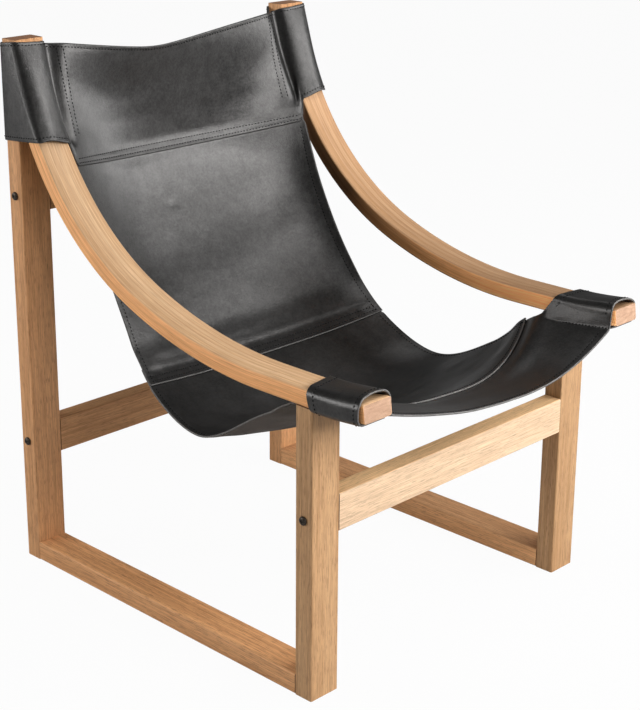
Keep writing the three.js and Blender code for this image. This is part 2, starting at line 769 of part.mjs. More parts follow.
function makeFrontBand() {
  const rows = panelRows(station.bandSeam, bandLap, station.front, 0, 7);
  const first = rows[0].t;
  const gathered = 0.06; // share of the loop taken by the rows behind the leg
  const rearShares = [1, 0.45, 0.36, 0.3, 0.26, 0.22, 0.19, 0.14, 0.07];
  const tail = [0.1, 0.55, 1].map((share) => 1 - (share * loopTail) / panelEdge);
  const grid = rows.map(({ t, depth }) => {
    const share = t < station.wingTurn
      ? gathered * THREE.MathUtils.inverseLerp(first, station.wingTurn, t)
      : THREE.MathUtils.lerp(gathered, 1, THREE.MathUtils.inverseLerp(station.wingTurn, station.front, t));
    const tailPlace = THREE.MathUtils.lerp(station.legFace, station.front, share);
    const seamPlace = THREE.MathUtils.lerp(station.wingTurn, station.front, share);
    const seam = sideLine.getPoint(seamPlace / station.front);
    const loop = (s) => [
      ...loopSection(loopArch * share, seam).map(([x, z], k) => {
        const rear = k < rearShares.length ? rearShares[k] * loopFlare : -skin;
        const y = THREE.MathUtils.lerp(rear, frontEdge, share);
        return new THREE.Vector3(s * x, y, z + tipRiseAt(y));
      }),
      ...tail.map((u) => layerPoint(s * u, tailPlace, layer)),
    ];
    const panel = across.map((u) => layerPoint(u, t, depth));
    return [...loop(-1).reverse(), ...panel, ...loop(1)];
  });
  piece('leather_front_band', sheet(grid, leather), leatherFinish);
}

makeHeadrest();
makePanel('leather_back', panelRows(station.headSeam, headLap, station.seatSeam, seatLap, 8));
makePanel('leather_seat', panelRows(station.seatSeam, seatLap, station.bandSeam, bandLap, 9));
makeFrontBand();

// Origin at the middle of the chair's box, at floor level.
const box = new THREE.Box3().setFromObject(chair);
chair.position.y = -(box.min.y + box.max.y) / 2;
chair.updateMatrixWorld(true);

export default chair;
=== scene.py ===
"""Dresses the sling lounge chair: oiled open-grain wood, black leather with its seams, dark bolts."""
import math

import bpy
import numpy as np
from mathutils import Matrix, Vector


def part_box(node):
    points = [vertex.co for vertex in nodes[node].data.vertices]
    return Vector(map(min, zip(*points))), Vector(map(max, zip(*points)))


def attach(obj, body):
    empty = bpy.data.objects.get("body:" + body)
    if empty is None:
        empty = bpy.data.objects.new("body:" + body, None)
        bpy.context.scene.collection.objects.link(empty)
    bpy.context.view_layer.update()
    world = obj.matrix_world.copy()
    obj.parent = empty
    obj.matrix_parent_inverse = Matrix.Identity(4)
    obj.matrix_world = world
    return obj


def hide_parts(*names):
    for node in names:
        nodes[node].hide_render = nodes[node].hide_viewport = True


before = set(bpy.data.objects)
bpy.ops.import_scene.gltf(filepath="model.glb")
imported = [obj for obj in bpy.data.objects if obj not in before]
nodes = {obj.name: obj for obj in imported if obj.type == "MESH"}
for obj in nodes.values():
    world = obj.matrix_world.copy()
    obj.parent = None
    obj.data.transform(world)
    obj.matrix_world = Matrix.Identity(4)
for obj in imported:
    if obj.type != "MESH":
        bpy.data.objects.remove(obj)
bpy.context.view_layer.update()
scene = bpy.context.scene
MM = 0.001

# Frame sizes, in millimetres, as in the part's source
member_width = 57.0
half_width = 325.0
half_inner = half_width - member_width
member_middle = half_width - member_width / 2
frame_depth = 698.0
post_face = 664.0
arm_top = 494.0
arm_thickness = 28.0
arm_underside = arm_top - arm_thickness
arm_overhang = 95.0
arm_edge_radius = 4.0
arm_sweep_radius = 740.0
arm_sweep_angle = math.radians(21.7)
arm_curl_radius = 450.0
arm_steepest = math.radians(82)
arm_straight_end = 56.0
arm_top_meet = 898.0
arm_blunt_end = 7.0
arm_tip_ease = 0.8
arm_side = (26.8, 28.4)  # from the middle, where a rounded edge turns into the side
ply_thickness = 5.6
grain_offset = 40.0  # keeps the grain of the two arms apart
tip_rise = 5.5
fit_gap = 0.3

# Bolt sizes
bolt_seat = half_width + fit_gap
bolt_head_radius = 7.0
bolt_head_height = 4.4
bolt_rim = 1.0
bolt_shank_radius = 4.0
bolt_shank_length = 99.0
socket_radius = 2.9
socket_depth = 2.6

# Leather sizes
leather = 3.0
skin = 2.0  # middle of the leather, above the wood under it
layer = leather + fit_gap  # one sheet above another
sleeve_top = 901.0
sleeve_bottom = 744.0
sleeve_middle = (sleeve_top + sleeve_bottom) / 2
sleeve_lift = 8.0  # rise of a sleeve's outer front corner
sleeve_level = 4.6  # rise of its lower edge between the front corners
sleeve_seam = (232.0, 242.0)  # closing rows, from the middle
sleeve_valley = (16.0, 13.0)  # hollow beside a sleeve, at its top and bottom
head_seam_height = 705.0
panel_edge = half_inner - 6.0
front_edge = 4.0 - arm_overhang
low_round = 0.13  # rounding of the low point across the sling
head_lap = 22.0
seat_lap = 36.0
band_lap = 18.0
lap_hold = 1.0  # a sheet stays raised this far past its lap
lap_rise = 50.0  # and is level again this far past it
lap_fade = 24.0  # where the hide's unevenness sets in beside a lap
lap_inset = 2.2  # hidden end of a sheet, narrower at each side
edge_row = 1.6  # points close to a cut edge
edge_bulge = 0.9  # rounding of a cut edge

# Stitch sizes, with the rows of each lap from its lower edge
hem = 8.5
top_row = 6.0
head_rows = (5, 14)
seat_rows = (7, 17)
band_rows = (8,)
stitch_groove = 0.22
groove_width = 2.3
stitch_pitch = 6.2
stitch_length = 3.7
stitch_width = 1.9
thread_sides = 6

front_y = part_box("front_leg_left")[0].y


def to_scene(points):
    """Millimetres behind the legs' front, as metres in the shared frame."""
    p = np.asarray(points, float) * MM
    p[..., 1] += front_y
    return p


def smoothstep(a, b, x):
    t = np.clip((x - a) / (b - a), 0, 1)
    return t * t * (3 - 2 * t)


def bump(x, middle, width):
    return np.exp(-(((x - middle) / width) ** 2))


def unit(v):
    return v / np.maximum(np.linalg.norm(v, axis=-1, keepdims=True), 1e-9)


def nearest(values, target):
    return int(np.argmin(np.abs(np.asarray(values) - target)))


def lengths(points):
    """Length along a line of points, at each of them."""
    return np.r_[0, np.cumsum(np.linalg.norm(np.diff(points, axis=0), axis=1))]


def arc(cx, cy, radius, start, end, count):
    q = np.radians(np.linspace(start, end, count))
    return np.c_[cx + radius * np.cos(q), cy + radius * np.sin(q)]


def line(a, b, count, ends=True):
    w = np.linspace(0, 1, count + 2)
    w = w if ends else w[1:-1]
    return np.asarray(a) + (np.asarray(b) - np.asarray(a)) * w[:, None]


def value_noise(x, y, seed):
    """Smooth noise from -1 to 1, one cell per unit."""
    size = 64
    table = np.random.RandomState(seed).uniform(-1, 1, (size, size))
    xi, yi = np.floor(x).astype(int), np.floor(y).astype(int)
    fx, fy = (f * f * f * (f * (f * 6 - 15) + 10) for f in (x - xi, y - yi))
    a, b, c, d = (table[(xi + i) % size, (yi + j) % size] for j in (0, 1) for i in (0, 1))
    return (a * (1 - fx) + b * fx) * (1 - fy) + (c * (1 - fx) + d * fx) * fy


# Arm: upper surface from its tip to its upper end

def tip_rise_at(y):
    """Height that the arm gains in front of the legs."""
    return tip_rise * (np.minimum(y, 0) / arm_overhang) ** 2


def arm_profile():
    """Rows of depth, height, slope and length along the arm's upper surface."""
    climb = arm_top_meet - arm_top
    sweep_run = arm_sweep_radius * math.sin(arm_sweep_angle)
    sweep_rise = arm_sweep_radius * (1 - math.cos(arm_sweep_angle))

    def rise(angle):
        curl = arm_curl_radius * (math.cos(arm_sweep_angle) - math.cos(angle))
        return sweep_rise + curl + arm_straight_end * math.sin(angle)

    low, high = arm_sweep_angle, arm_steepest
    for _ in range(60):
        middle = (low + high) / 2
        low, high = (middle, high) if rise(middle) < climb else (low, middle)
    end = low
    curl_run = arm_curl_radius * (math.sin(end) - math.sin(arm_sweep_angle))
    level_end = post_face - (sweep_run + curl_run + arm_straight_end * math.cos(end))
    rows = []
    for y in np.linspace(-arm_overhang, 0, 12)[:-1]:
        rows.append((y, arm_top + tip_rise_at(y), math.atan(2 * tip_rise * y / arm_overhang ** 2)))
    for y in np.linspace(0, level_end, 24)[:-1]:
        rows.append((y, arm_top, 0.0))
    for slope in np.linspace(0, arm_sweep_angle, 46)[:-1]:
        rows.append((level_end + arm_sweep_radius * math.sin(slope),
                     arm_top + arm_sweep_radius * (1 - math.cos(slope)), slope))
    y1, z1 = level_end + sweep_run, arm_top + sweep_rise
    for slope in np.linspace(arm_sweep_angle, end, 70):
        rows.append((y1 + arm_curl_radius * (math.sin(slope) - math.sin(arm_sweep_angle)),
                     z1 + arm_curl_radius * (math.cos(arm_sweep_angle) - math.cos(slope)), slope))
    y2, z2, _ = rows[-1]
    for d in np.linspace(0, arm_straight_end + arm_thickness, 14)[1:]:
        rows.append((y2 + d * math.cos(end), z2 + d * math.sin(end), end))
    rows = np.array(rows)
    return np.c_[rows, lengths(rows[:, :2])]


arm_rows = arm_profile()


def arm_front(z):
    """Depth of the arm's front surface at a height."""
    rising = arm_rows[(arm_rows[:, 0] > 0) & (arm_rows[:, 1] > arm_top + 0.01)]
    return np.interp(z, rising[:, 1], rising[:, 0])


# Sling: its side edge and middle, from the headrest's top to the front edge

def centripetal(points):
    """A smooth curve through points; its parameter counts them."""
    p = np.asarray(points, float)
    p = np.vstack([2 * p[0] - p[1], p, 2 * p[-1] - p[-2]])

    def at(t):
        t = np.asarray(t, float)
        i = np.clip(np.floor(t).astype(int), 0, len(p) - 4)
        w = (t - i)[..., None]
        p0, p1, p2, p3 = p[i], p[i + 1], p[i + 2], p[i + 3]
        d0, d1, d2 = (np.sqrt(np.linalg.norm(b - a, axis=-1, keepdims=True))
                      for a, b in ((p0, p1), (p1, p2), (p2, p3)))
        m1 = ((p1 - p0) / d0 - (p2 - p0) / (d0 + d1) + (p2 - p1) / d1) * d1
        m2 = ((p2 - p1) / d1 - (p3 - p1) / (d1 + d2) + (p3 - p2) / d2) * d1
        return p1 + m1 * w + (3 * (p2 - p1) - 2 * m1 - m2) * w ** 2 + (2 * (p1 - p2) + m1 + m2) * w ** 3

    return at


head_top_depth = float(arm_front(sleeve_top)) - leather
head_seam_depth = float(arm_front(sleeve_bottom)) - leather
head_seam_bow = post_face - 5.0 - head_seam_depth
seat_seam = (411.0, arm_underside - 88.0)


def back_place(share, behind):
    y = head_seam_depth + (seat_seam[0] - head_seam_depth) * share + behind
    return y, head_seam_height + (seat_seam[1] - head_seam_height) * share


def station(place, bow, dip, wider=0.0, power=2.0, lean=0.0, higher=0.0, skew=0.0, aside=0.0):
    """Side edge of the sling at a place, with its middle a bow behind it and a dip below it.

    The edge may stand wider than the panel. Power says how flat the middle lies, skew how much flatter on
    the left and lean how much lower there. The right edge may be higher, and the low point lies aside to
    the right.
    """
    return (panel_edge + wider, place[0], place[1], bow, dip, power, lean, higher, skew, aside)


stations = np.array([
    station((head_top_depth, sleeve_top - skin), -8, 30.5, power=1.05, lean=0.08, aside=0.16),
    station((float(arm_front(sleeve_middle)), sleeve_middle), 21, 16.5, power=1.8),
    station((head_seam_depth + 6, sleeve_bottom), head_seam_bow - 1, 4.5, wider=2.5, power=2.4),
    station((head_seam_depth - 6, head_seam_height), head_seam_bow + 6, 20.5, wider=3,
            power=2.25, skew=0.1),
    station(back_place(0.345, 14), 56, 16, power=3.7, skew=1.5),
    station(back_place(0.71, 19), 44, 18, wider=4, power=3.8, skew=1.9),
    station(seat_seam, 25, 21, wider=15, power=2.6, skew=0.9),
    station((285, arm_underside - 140), 6, 20, wider=23, higher=7),
    station((160, arm_underside - 87), -10, 36, wider=23, higher=19, lean=0.3),
    station((87, arm_underside - 28), -62, 47, wider=19, lean=0.35),
    station((46, arm_underside - 9), -42, 61, wider=-6, lean=0.4),
    station((0, arm_underside - 6), -30, 60, wider=-5, lean=0.42),
    station((front_edge, arm_underside + 1), 10, 57, lean=0.36),
])
SLEEVE_END, HEAD_SEAM, SEAT_SEAM, BAND_SEAM, WING_TURN, LEG_FACE, FRONT = 2, 3, 6, 9, 10, 11, 12
side_curve = centripetal(stations[:, :3])
middle_curve = centripetal(np.c_[0 * stations[:, 0], stations[:, 1] + stations[:, 3],
                                 stations[:, 2] - stations[:, 4]])
shape_curve = centripetal(np.c_[np.arange(len(stations)) * 1.0, stations[:, 5:]])


def sling(u, t):
    """Middle surface of the leather: u runs from -1 to 1 across, t counts stations along the sling."""
    u, t = np.broadcast_arrays(np.asarray(u, float), np.asarray(t, float))
    edge, middle = side_curve(t), middle_curve(t)
    power, lean, higher, skew, aside = np.moveaxis(shape_curve(t)[..., 1:], -1, 0)
    from_low = np.sqrt((u + aside * (1 - u * u)) ** 2 + low_round ** 2)
    away = (from_low - low_round) / (math.sqrt(1 + low_round ** 2) - low_round)
    rise = away ** (power + skew * u)
    hang = (1 - rise) * (1 + lean * u)
    y = edge[..., 1] + (middle[..., 1] - edge[..., 1]) * (1 - rise)
    z = edge[..., 2] + (middle[..., 2] - edge[..., 2]) * hang + higher * rise * (1 - u) / 2
    return np.stack([edge[..., 0] * u, y, z], -1)


def sling_normal(u, t):
    """Unit normal of that surface, pointing behind and below the sling."""
    h = 0.01
    along = sling(u, np.minimum(t + h, FRONT)) - sling(u, np.maximum(t - h, 0))
    across = sling(np.minimum(u + h, 1), t) - sling(np.maximum(u - h, -1), t)
    return unit(np.cross(across, along))


table_t = np.linspace(0, FRONT, 2401)
table_s = lengths(sling(0.55, table_t))


def length_at(t):
    return float(np.interp(t, table_t, table_s))


def t_at(length):
    return np.interp(length, table_s, table_t)


# Meshes

def new_object(name, verts, faces, materials, face_material, smooth=True):
    mesh = bpy.data.meshes.new(name)
    mesh.from_pydata([tuple(v) for v in verts], [], faces)
    for m in materials:
        mesh.materials.append(m)
    mesh.polygons.foreach_set("material_index", np.asarray(face_material, np.int32))
    mesh.polygons.foreach_set("use_smooth", np.full(len(faces), smooth))
    mesh.update()
    obj = bpy.data.objects.new(name, mesh)
    scene.collection.objects.link(obj)
    return obj


def tube_faces(rings, count, base=0):
    """Quads between closed rings of points, then the caps of both ends."""
    last = base + (rings - 1) * count
    faces = []
    for start in range(base, last, count):
        for i in range(count):
            j = (i + 1) % count
            faces.append((start + i, start + j, start + count + j, start + count + i))
    return faces + [tuple(range(base + count - 1, base - 1, -1)), tuple(range(last, last + count))]


def sheet_object(name, p, materials):
    """A closed sheet from a grid of points on its middle surface, with its grain face and normals."""
    rows, cols = p.shape[:2]
    n = unit(np.cross(np.gradient(p, axis=1), np.gradient(p, axis=0)))
    face, back = p - n * leather / 2, p + n * leather / 2
    loop = ([(0, c) for c in range(cols)] + [(r, cols - 1) for r in range(1, rows)]
            + [(rows - 1, c) for c in range(cols - 2, -1, -1)] + [(r, 0) for r in range(rows - 2, 0, -1)])
    lr, lc = np.array(loop).T
    out = unit(p[lr, lc] - p[np.clip(lr, 1, rows - 2), np.clip(lc, 1, cols - 2)])
    ring = p[lr, lc] + out * edge_bulge
    verts = np.concatenate([face.reshape(-1, 3), back.reshape(-1, 3), ring])
    a = (np.arange(rows - 1)[:, None] * cols + np.arange(cols - 1)[None, :]).ravel()
    f_face = np.stack([a, a + cols, a + cols + 1, a + 1], 1)
    f_back = np.stack([a, a + 1, a + cols + 1, a + cols], 1) + rows * cols
    top = lr * cols + lc
    k = np.arange(len(loop))
    nxt = np.roll(k, -1)
    base = 2 * rows * cols
    f_rim1 = np.stack([top, top[nxt], base + nxt, base + k], 1)
    f_rim2 = np.stack([base + k, base + nxt, top[nxt] + rows * cols, top + rows * cols], 1)
    faces = np.concatenate([f_face, f_back, f_rim1, f_rim2])
    index = np.r_[np.zeros(len(a)), np.ones(len(a)), np.full(2 * len(loop), 2)]
    return new_object(name, to_scene(verts), faces.tolist(), materials, index), face, n


# Materials

class Nodes:
    """Makes the nodes of one tree."""

    def __init__(self, tree):
        self.tree = tree
        tree.nodes.clear()

    def feed(self, socket, value):
        if isinstance(value, bpy.types.NodeSocket):
            self.tree.links.new(value, socket)
        else:
            socket.default_value = value

    def add(self, kind, inputs=None, **props):
        made = self.tree.nodes.new("ShaderNode" + kind)
        for key, value in props.items():
            setattr(made, key, value)
        for key, value in (inputs or {}).items():
            self.feed(made.inputs[key], value)
        return made

    def calc(self, operation, a, b=0.0):
        return self.add("Math", {0: a, 1: b}, operation=operation).outputs[0]

    def times(self, a, b):
        return self.calc("MULTIPLY", a, b)

    def mix(self, share, a, b, blend="MIX"):
        return self.add("MixRGB", {0: share, 1: a, 2: b}, blend_type=blend).outputs[0]

    def noise(self, vector, scale, detail, **more):
        inputs = {"Vector": vector, "Scale": scale, "Detail": detail, **more}
        return self.add("TexNoise", inputs).outputs[0]

    def stretched(self, vector, *by):
        return self.add("VectorMath", {0: vector, 1: by}, operation="MULTIPLY").outputs[0]

    def spread(self, value, low, high, to_low=0.0, to_high=1.0, how="LINEAR"):
        """A value's range laid out over another range."""
        inputs = {"Value": value, "From Min": low, "From Max": high, "To Min": to_low, "To Max": to_high}
        return self.add("MapRange", inputs, interpolation_type=how).outputs[0]

    def ramp(self, value, *stops):
        """Two colours or greys, each with the value where it stands."""
        made = self.add("ValToRGB", {0: value})
        for element, (place, colour) in zip(made.color_ramp.elements, stops):
            element.position = place
            element.color = (*(colour if isinstance(colour, tuple) else (colour,) * 3), 1)
        return made.outputs[0]

    def seen_white(self, glossy, white=1.0):
        """Share of plain white: what the camera sees gets it, reflections a part, other light none."""
        path = self.add("LightPath")
        seen = self.calc("MAXIMUM", path.outputs["Is Camera Ray"], path.outputs["Is Transmission Ray"])
        shine = self.times(path.outputs["Is Glossy Ray"], glossy)
        return self.calc("MAXIMUM", self.times(seen, white), shine)


class Finish(Nodes):
    """A material with one principled shader."""

    def __init__(self, name):
        self.material = bpy.data.materials.new(name)
        self.material.use_nodes = True
        super().__init__(self.material.node_tree)
        self.out = self.add("OutputMaterial")
        self.shader = self.add("BsdfPrincipled")
        self.feed(self.out.inputs[0], self.shader.outputs[0])
        self.coord = self.add("TexCoord")
        self.place = self.coord.outputs["Object"]

    def put(self, socket, value):
        self.feed(self.shader.inputs[socket], value)

    def relief(self, height, strength, distance):
        made = self.add("Bump", {"Height": height, "Strength": strength, "Distance": distance})
        self.put("Normal", made.outputs[0])


def wood_material(name, axis=None, shade=1.0, red=0.0, pale_by=0.0, seed=0.0, pored=0.55, lined=0.5,
                  top=(1.0, 1.0, 1.0), ends=(1.0, 1.0), side_painted_light=(1.0, 1.0)):
    """Oiled open-grain hardwood whose grain runs along an axis, or in plies along a bent arm; its top and
    side tints and its tones along an arm are painted light and shade.
    """
    f = Finish(name)
    if axis:
        turn = {"x": (0, math.pi / 2, 0), "y": (math.pi / 2, 0, 0), "z": (0, 0, 0)}[axis]
        source = f.add("Mapping", {"Vector": f.place, "Location": (seed, 2 * seed, seed),
                                   "Rotation": turn}).outputs[0]
    else:
        source = f.add("Attribute", attribute_name="grain").outputs["Vector"]

    def grain(across, along, detail, **more):
        return f.noise(f.stretched(source, across, across, along), 1.0, detail, **more)

    def tinted(r, g, b):
        g, b = g + (r - g) * 0.3 * pale_by, b + (r - b) * 0.25 * pale_by
        return (r * shade, g * shade * (1 - 0.25 * red), b * shade * (1 - 0.4 * red))

    pale, mid, dark = tinted(0.72, 0.435, 0.222), tinted(0.62, 0.355, 0.168), tinted(0.45, 0.225, 0.09)
    colour = f.ramp(grain(20, 1.3, 3.0, Distortion=0.4), (0.34, mid), (0.62, pale))
    lines = f.ramp(grain(120, 2.2, 4.0, Distortion=0.6), (0.44, 0.0), (0.68, 1.0))
    colour = f.mix(f.times(lines, lined), colour, (*dark, 1))
    fibre = grain(620, 16, 3.0)
    colour = f.mix(0.8, colour, f.ramp(fibre, (0.32, (0.76, 0.73, 0.70)), (0.68, 1.18)), "MULTIPLY")
    pores = f.ramp(grain(980, 60, 1.5), (0.56, 0.0), (0.66, 1.0))
    colour = f.mix(f.times(pores, pored), colour, (*tinted(0.24, 0.115, 0.05), 1))
    if axis:
        facing = f.add("SeparateXYZ", {0: f.coord.outputs["Normal"]})
        # painted light: faces that look up take the top tint, for the light and shade falling on them
        colour = f.mix(f.spread(facing.outputs[2], 0.5, 0.9), colour, (*top, 1), "MULTIPLY")
        along = f.calc("ABSOLUTE", facing.outputs["xyz".index(axis)])
        end = f.ramp(along, (0.75, 0.0), (0.95, 1.0))
        colour = f.mix(f.times(end, 0.85), colour, (0.22, 0.11, 0.065, 1))
    else:
        across, depth, along = f.add("SeparateXYZ", {0: source}).outputs
        ply = f.calc("FLOOR", f.times(depth, 1 / (ply_thickness * MM)))
        tone = f.add("TexWhiteNoise", {"W": ply}, noise_dimensions="1D").outputs[0]
        tint = f.ramp(tone, (0.0, (0.92, 0.84, 0.76)), (1.0, (1.06, 1.04, 1.02)))
        colour = f.mix(0.8, colour, tint, "MULTIPLY")
        stripe = f.ramp(grain(270, 0.8, 2.5), (0.36, (0.88, 0.81, 0.72)), (0.62, (1.06, 1.09, 1.13)))
        colour = f.mix(0.9, colour, stripe, "MULTIPLY")
        # painted light: the tone changes along the arm, lighter or darker where light falls on it
        # differently
        colour = f.mix(1.0, colour, f.spread(along, 0.1, 0.85, *ends), "MULTIPLY")
        off_middle = f.calc("SUBTRACT", f.calc("ABSOLUTE", across), grain_offset * MM)
        side = f.spread(f.calc("ABSOLUTE", off_middle), *(d * MM for d in arm_side))
        # painted light: the arm's top and sides get different tints for the light falling on each
        colour = f.mix(1.0, colour, f.ramp(side, (0.0, top), (1.0, (1.26, 1.06, 0.84))), "MULTIPLY")
        # painted shade: the sides' tone changes along the arm, darkest at the left arm's upper end where
        # the sling shades it
        colour = f.mix(side, colour, f.spread(along, 0.1, 0.6, *side_painted_light), "MULTIPLY")
    f.put("Base Color", colour)
    f.put("Roughness", f.ramp(fibre, (0.25, 0.62), (0.75, 0.48)))
    f.put("Specular IOR Level", 0.27)
    f.relief(f.calc("SUBTRACT", f.times(fibre, 0.4), pores), 0.35, 0.0003)
    return f.material


def end_grain_material():
    """Sawn tips of the arms."""
    f = Finish("wood_end_grain")
    rings = f.noise(f.stretched(f.place, 60, 60, 240), 1.0, 3.0)
    dots = f.noise(f.place, 1300.0, 1.0)
    colour = f.ramp(rings, (0.3, (0.42, 0.24, 0.145)), (0.7, (0.58, 0.36, 0.235)))
    spots = f.ramp(dots, (0.58, 0.0), (0.7, 1.0))
    f.put("Base Color", f.mix(f.times(spots, 0.5), colour, (0.13, 0.055, 0.025, 1)))
    f.put("Roughness", 0.65)
    f.relief(dots, 0.25, 0.0003)
    return f.material


def leather_material():
    """Black saddle leather with a soft satin face and a fine pebble."""
    f = Finish("leather_grain_side")
    cloud = f.noise(f.place, 9.0, 5.0, Roughness=0.6)
    fold = f.noise(f.place, 60.0, 6.0, Roughness=0.62)
    mottle = f.noise(f.place, 230.0, 5.0, Roughness=0.7)
    fine = f.noise(f.place, 1500.0, 2.0)
    pebble = f.add("TexVoronoi", {"Vector": f.place, "Scale": 620.0}, feature="SMOOTH_F1").outputs[0]
    f.put("Base Color", f.ramp(cloud, (0.3, (0.0050, 0.0049, 0.0048)), (0.72, (0.0105, 0.0100, 0.0096))))
    rough = f.ramp(cloud, (0.25, 0.29), (0.75, 0.37))
    rough = f.mix(0.35, rough, f.ramp(fold, (0.3, 0.27), (0.7, 0.43)))
    f.put("Roughness", f.mix(0.3, rough, f.ramp(mottle, (0.3, 0.24), (0.7, 0.46))))
    shine = f.calc("ADD", f.times(mottle, 0.6), f.times(fold, 0.4))
    f.put("Specular IOR Level", f.ramp(shine, (0.38, 0.41), (0.62, 0.69)))
    f.put("Specular Tint", (1.0, 0.975, 0.955, 1))
    height = f.calc("ADD", f.times(pebble, 0.7), f.times(fine, 0.3))
    for texture, share in ((fold, 1.6), (mottle, 1.5)):
        height = f.calc("ADD", height, f.times(texture, share))
    f.relief(height, 0.17, 0.0009)
    return f.material


def flesh_material():
    """Rough grey-brown flesh side of the hide."""
    f = Finish("leather_flesh_side")
    nap, cloud = f.noise(f.place, 420.0, 4.0), f.noise(f.place, 14.0, 4.0)
    colour = f.ramp(cloud, (0.3, (0.075, 0.068, 0.063)), (0.7, (0.13, 0.118, 0.108)))
    f.put("Base Color", f.mix(0.5, colour, f.ramp(nap, (0.3, 0.7), (0.7, 1.25)), "MULTIPLY"))
    f.put("Roughness", 0.9)
    f.put("Specular IOR Level", 0.2)
    f.relief(nap, 0.5, 0.0006)
    return f.material


def edge_material(name, low, high):
    """Cut edge of the hide, grey and slightly burnished."""
    f = Finish(name)
    layers = f.noise(f.place, 260.0, 3.0)
    f.put("Base Color", f.ramp(layers, (0.3, (low, 0.95 * low, 0.9 * low)),
                               (0.7, (high, 0.95 * high, 0.91 * high))))
    f.put("Roughness", 0.62)
    f.relief(layers, 0.3, 0.0004)
    return f.material


def thread_material():
    f = Finish("thread_black")
    twist = f.noise(f.place, 1400.0, 2.0)
    f.put("Base Color", f.ramp(twist, (0.3, 0.004), (0.7, (0.010, 0.0098, 0.0095))))
    f.put("Roughness", 0.75)
    f.put("Specular IOR Level", 0.15)
    f.relief(twist, 0.5, 0.0003)
    return f.material


def metal_material(name, low, high, rough, metallic):
    f = Finish(name)
    wear = f.noise(f.place, 420.0, 5.0)
    f.put("Base Color", f.ramp(wear, (0.3, low), (0.75, high)))
    f.put("Roughness", f.ramp(wear, (0.3, rough + 0.1), (0.75, rough - 0.08)))
    f.put("Metallic", metallic)
    f.relief(wear, 0.12, 0.0003)
    return f.material


grain_side, flesh_side = leather_material(), flesh_material()
hide = [grain_side, flesh_side, edge_material("leather_cut_edge", 0.085, 0.17)]
# painted shade: darker copies of the cut edge, dimmer on the back and dark as a shadow line on the headrest
hide_dim_edge = [grain_side, flesh_side, edge_material("leather_painted_dim_edge", 0.05, 0.10)]
hide_shadow_edge = [grain_side, flesh_side, edge_material("leather_painted_shadow_edge", 0.014, 0.035)]
thread = thread_material()
bolt_metal = metal_material("bolt_bronze", (0.035, 0.029, 0.024), (0.085, 0.070, 0.056), 0.36, 0.9)
zinc = metal_material("zinc", (0.52, 0.52, 0.50), (0.66, 0.66, 0.64), 0.38, 1.0)
wood_end = end_grain_material()
# Painted light and shade: the two arms are lit and shaded copies of one bent wood, each with its own top,
# side and along-the-arm tints
wood_bent = {
    "left": wood_material("wood_bent_left", shade=0.92, red=0.1, pale_by=0.3, pored=0.15, lined=0.2,
                          top=(0.90, 0.92, 0.96), ends=(0.60, 1.03), side_painted_light=(3.2, 0.17)),
    "right": wood_material("wood_bent_right", shade=1.16, pale_by=0.4, pored=0.15, lined=0.2,
                           top=(0.81, 0.85, 0.88), ends=(1.07, 0.79), side_painted_light=(1.0, 1.18)),
}
wood_rear = wood_material("wood_rear", "x", shade=0.93, red=0.35, seed=8.9)
finishes = {
    "rear_post": wood_material("wood_post", "z", shade=0.98, red=0.45),
    # painted shade: the left leg is a darker copy of the right one
    "front_leg_left": wood_material("wood_leg_left", "z", shade=0.77, seed=2.9),
    "front_leg_right": wood_material("wood_leg_right", "z", shade=0.81, seed=3.7),
    # painted light: the left runner's sides are lightened and its top darkened for the light falling on
    # each
    "floor_runner_left": wood_material("wood_runner_left", "y", shade=1.22, red=0.35, seed=1.9,
                                       top=(0.66, 0.66, 0.68)),
    "floor_runner_right": wood_material("wood_runner_right", "y", shade=1.12, red=0.45, seed=1.3),
    # painted light: the stretcher's top faces take a warmer tint
    "front_stretcher": wood_material("wood_front", "x", shade=1.13, pale_by=1.0, seed=5.1, pored=0.42,
                                     lined=0.32, top=(1.10, 0.99, 0.78)),
    "rear_lower": wood_rear,
    "rear_upper": wood_rear,
    "dowel": wood_material("wood_dowel", "z", shade=1.1),
    "barrel_nut": zinc,
    "arm_screw": zinc,
}


# Stitching

def stitch_object(name, paths):
    """Thread stitches along paths of points and of normals towards the viewer."""
    ring_at = np.array([-0.5, -0.36, 0.0, 0.36, 0.5]) * stitch_length
    ring_up = np.array([-0.9, 0.15, 0.4, 0.15, -0.9])
    ring_wide = np.array([0.45, 0.9, 1.0, 0.9, 0.45]) * stitch_width / 2
    angles = np.arange(thread_sides) * 2 * math.pi / thread_sides
    verts, faces = [], []
    for points, normals in paths:
        s = lengths(points)

        def at_length(values, at):
            return np.array([np.interp(at, s, values[:, i]) for i in range(3)])

        count = int((s[-1] - 2.0) / stitch_pitch)
        start = (s[-1] - (count - 1) * stitch_pitch) / 2
        for at in start + np.arange(count) * stitch_pitch:
            centre, normal = at_length(points, at), unit(at_length(normals, at))
            along = unit(at_length(points, at + 1) - at_length(points, at - 1))
            aside = unit(np.cross(normal, along))
            faces += [f[::-1] for f in tube_faces(len(ring_at), thread_sides, len(verts))]
            for a, up, wide in zip(ring_at, ring_up, ring_wide):
                above = up + 0.75 * wide * np.sin(angles)
                verts.extend(centre + along * a + np.outer(above, normal)
                             + np.outer(wide * np.cos(angles), aside))
    obj = new_object(name, to_scene(np.array(verts)), faces, [thread], np.zeros(len(faces)))
    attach(obj, "root")
    return obj


def seam_path(face, n, rows, columns):
    return face[rows, columns], -n[rows, columns]


def lap_paths(face, n, s, end_s, insets, columns):
    return [seam_path(face, n, nearest(s, end_s - d), columns) for d in insets]


def row_grooves(d, insets):
    """Grooves that rows of stitches press into a lap, at a distance from its lower edge."""
    return -stitch_groove * sum(bump(d, row, groove_width) for row in insets)


# Sheets of leather


def finish_sheet(obj, node_name, seams):
    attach(obj, "root")
    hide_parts(node_name)


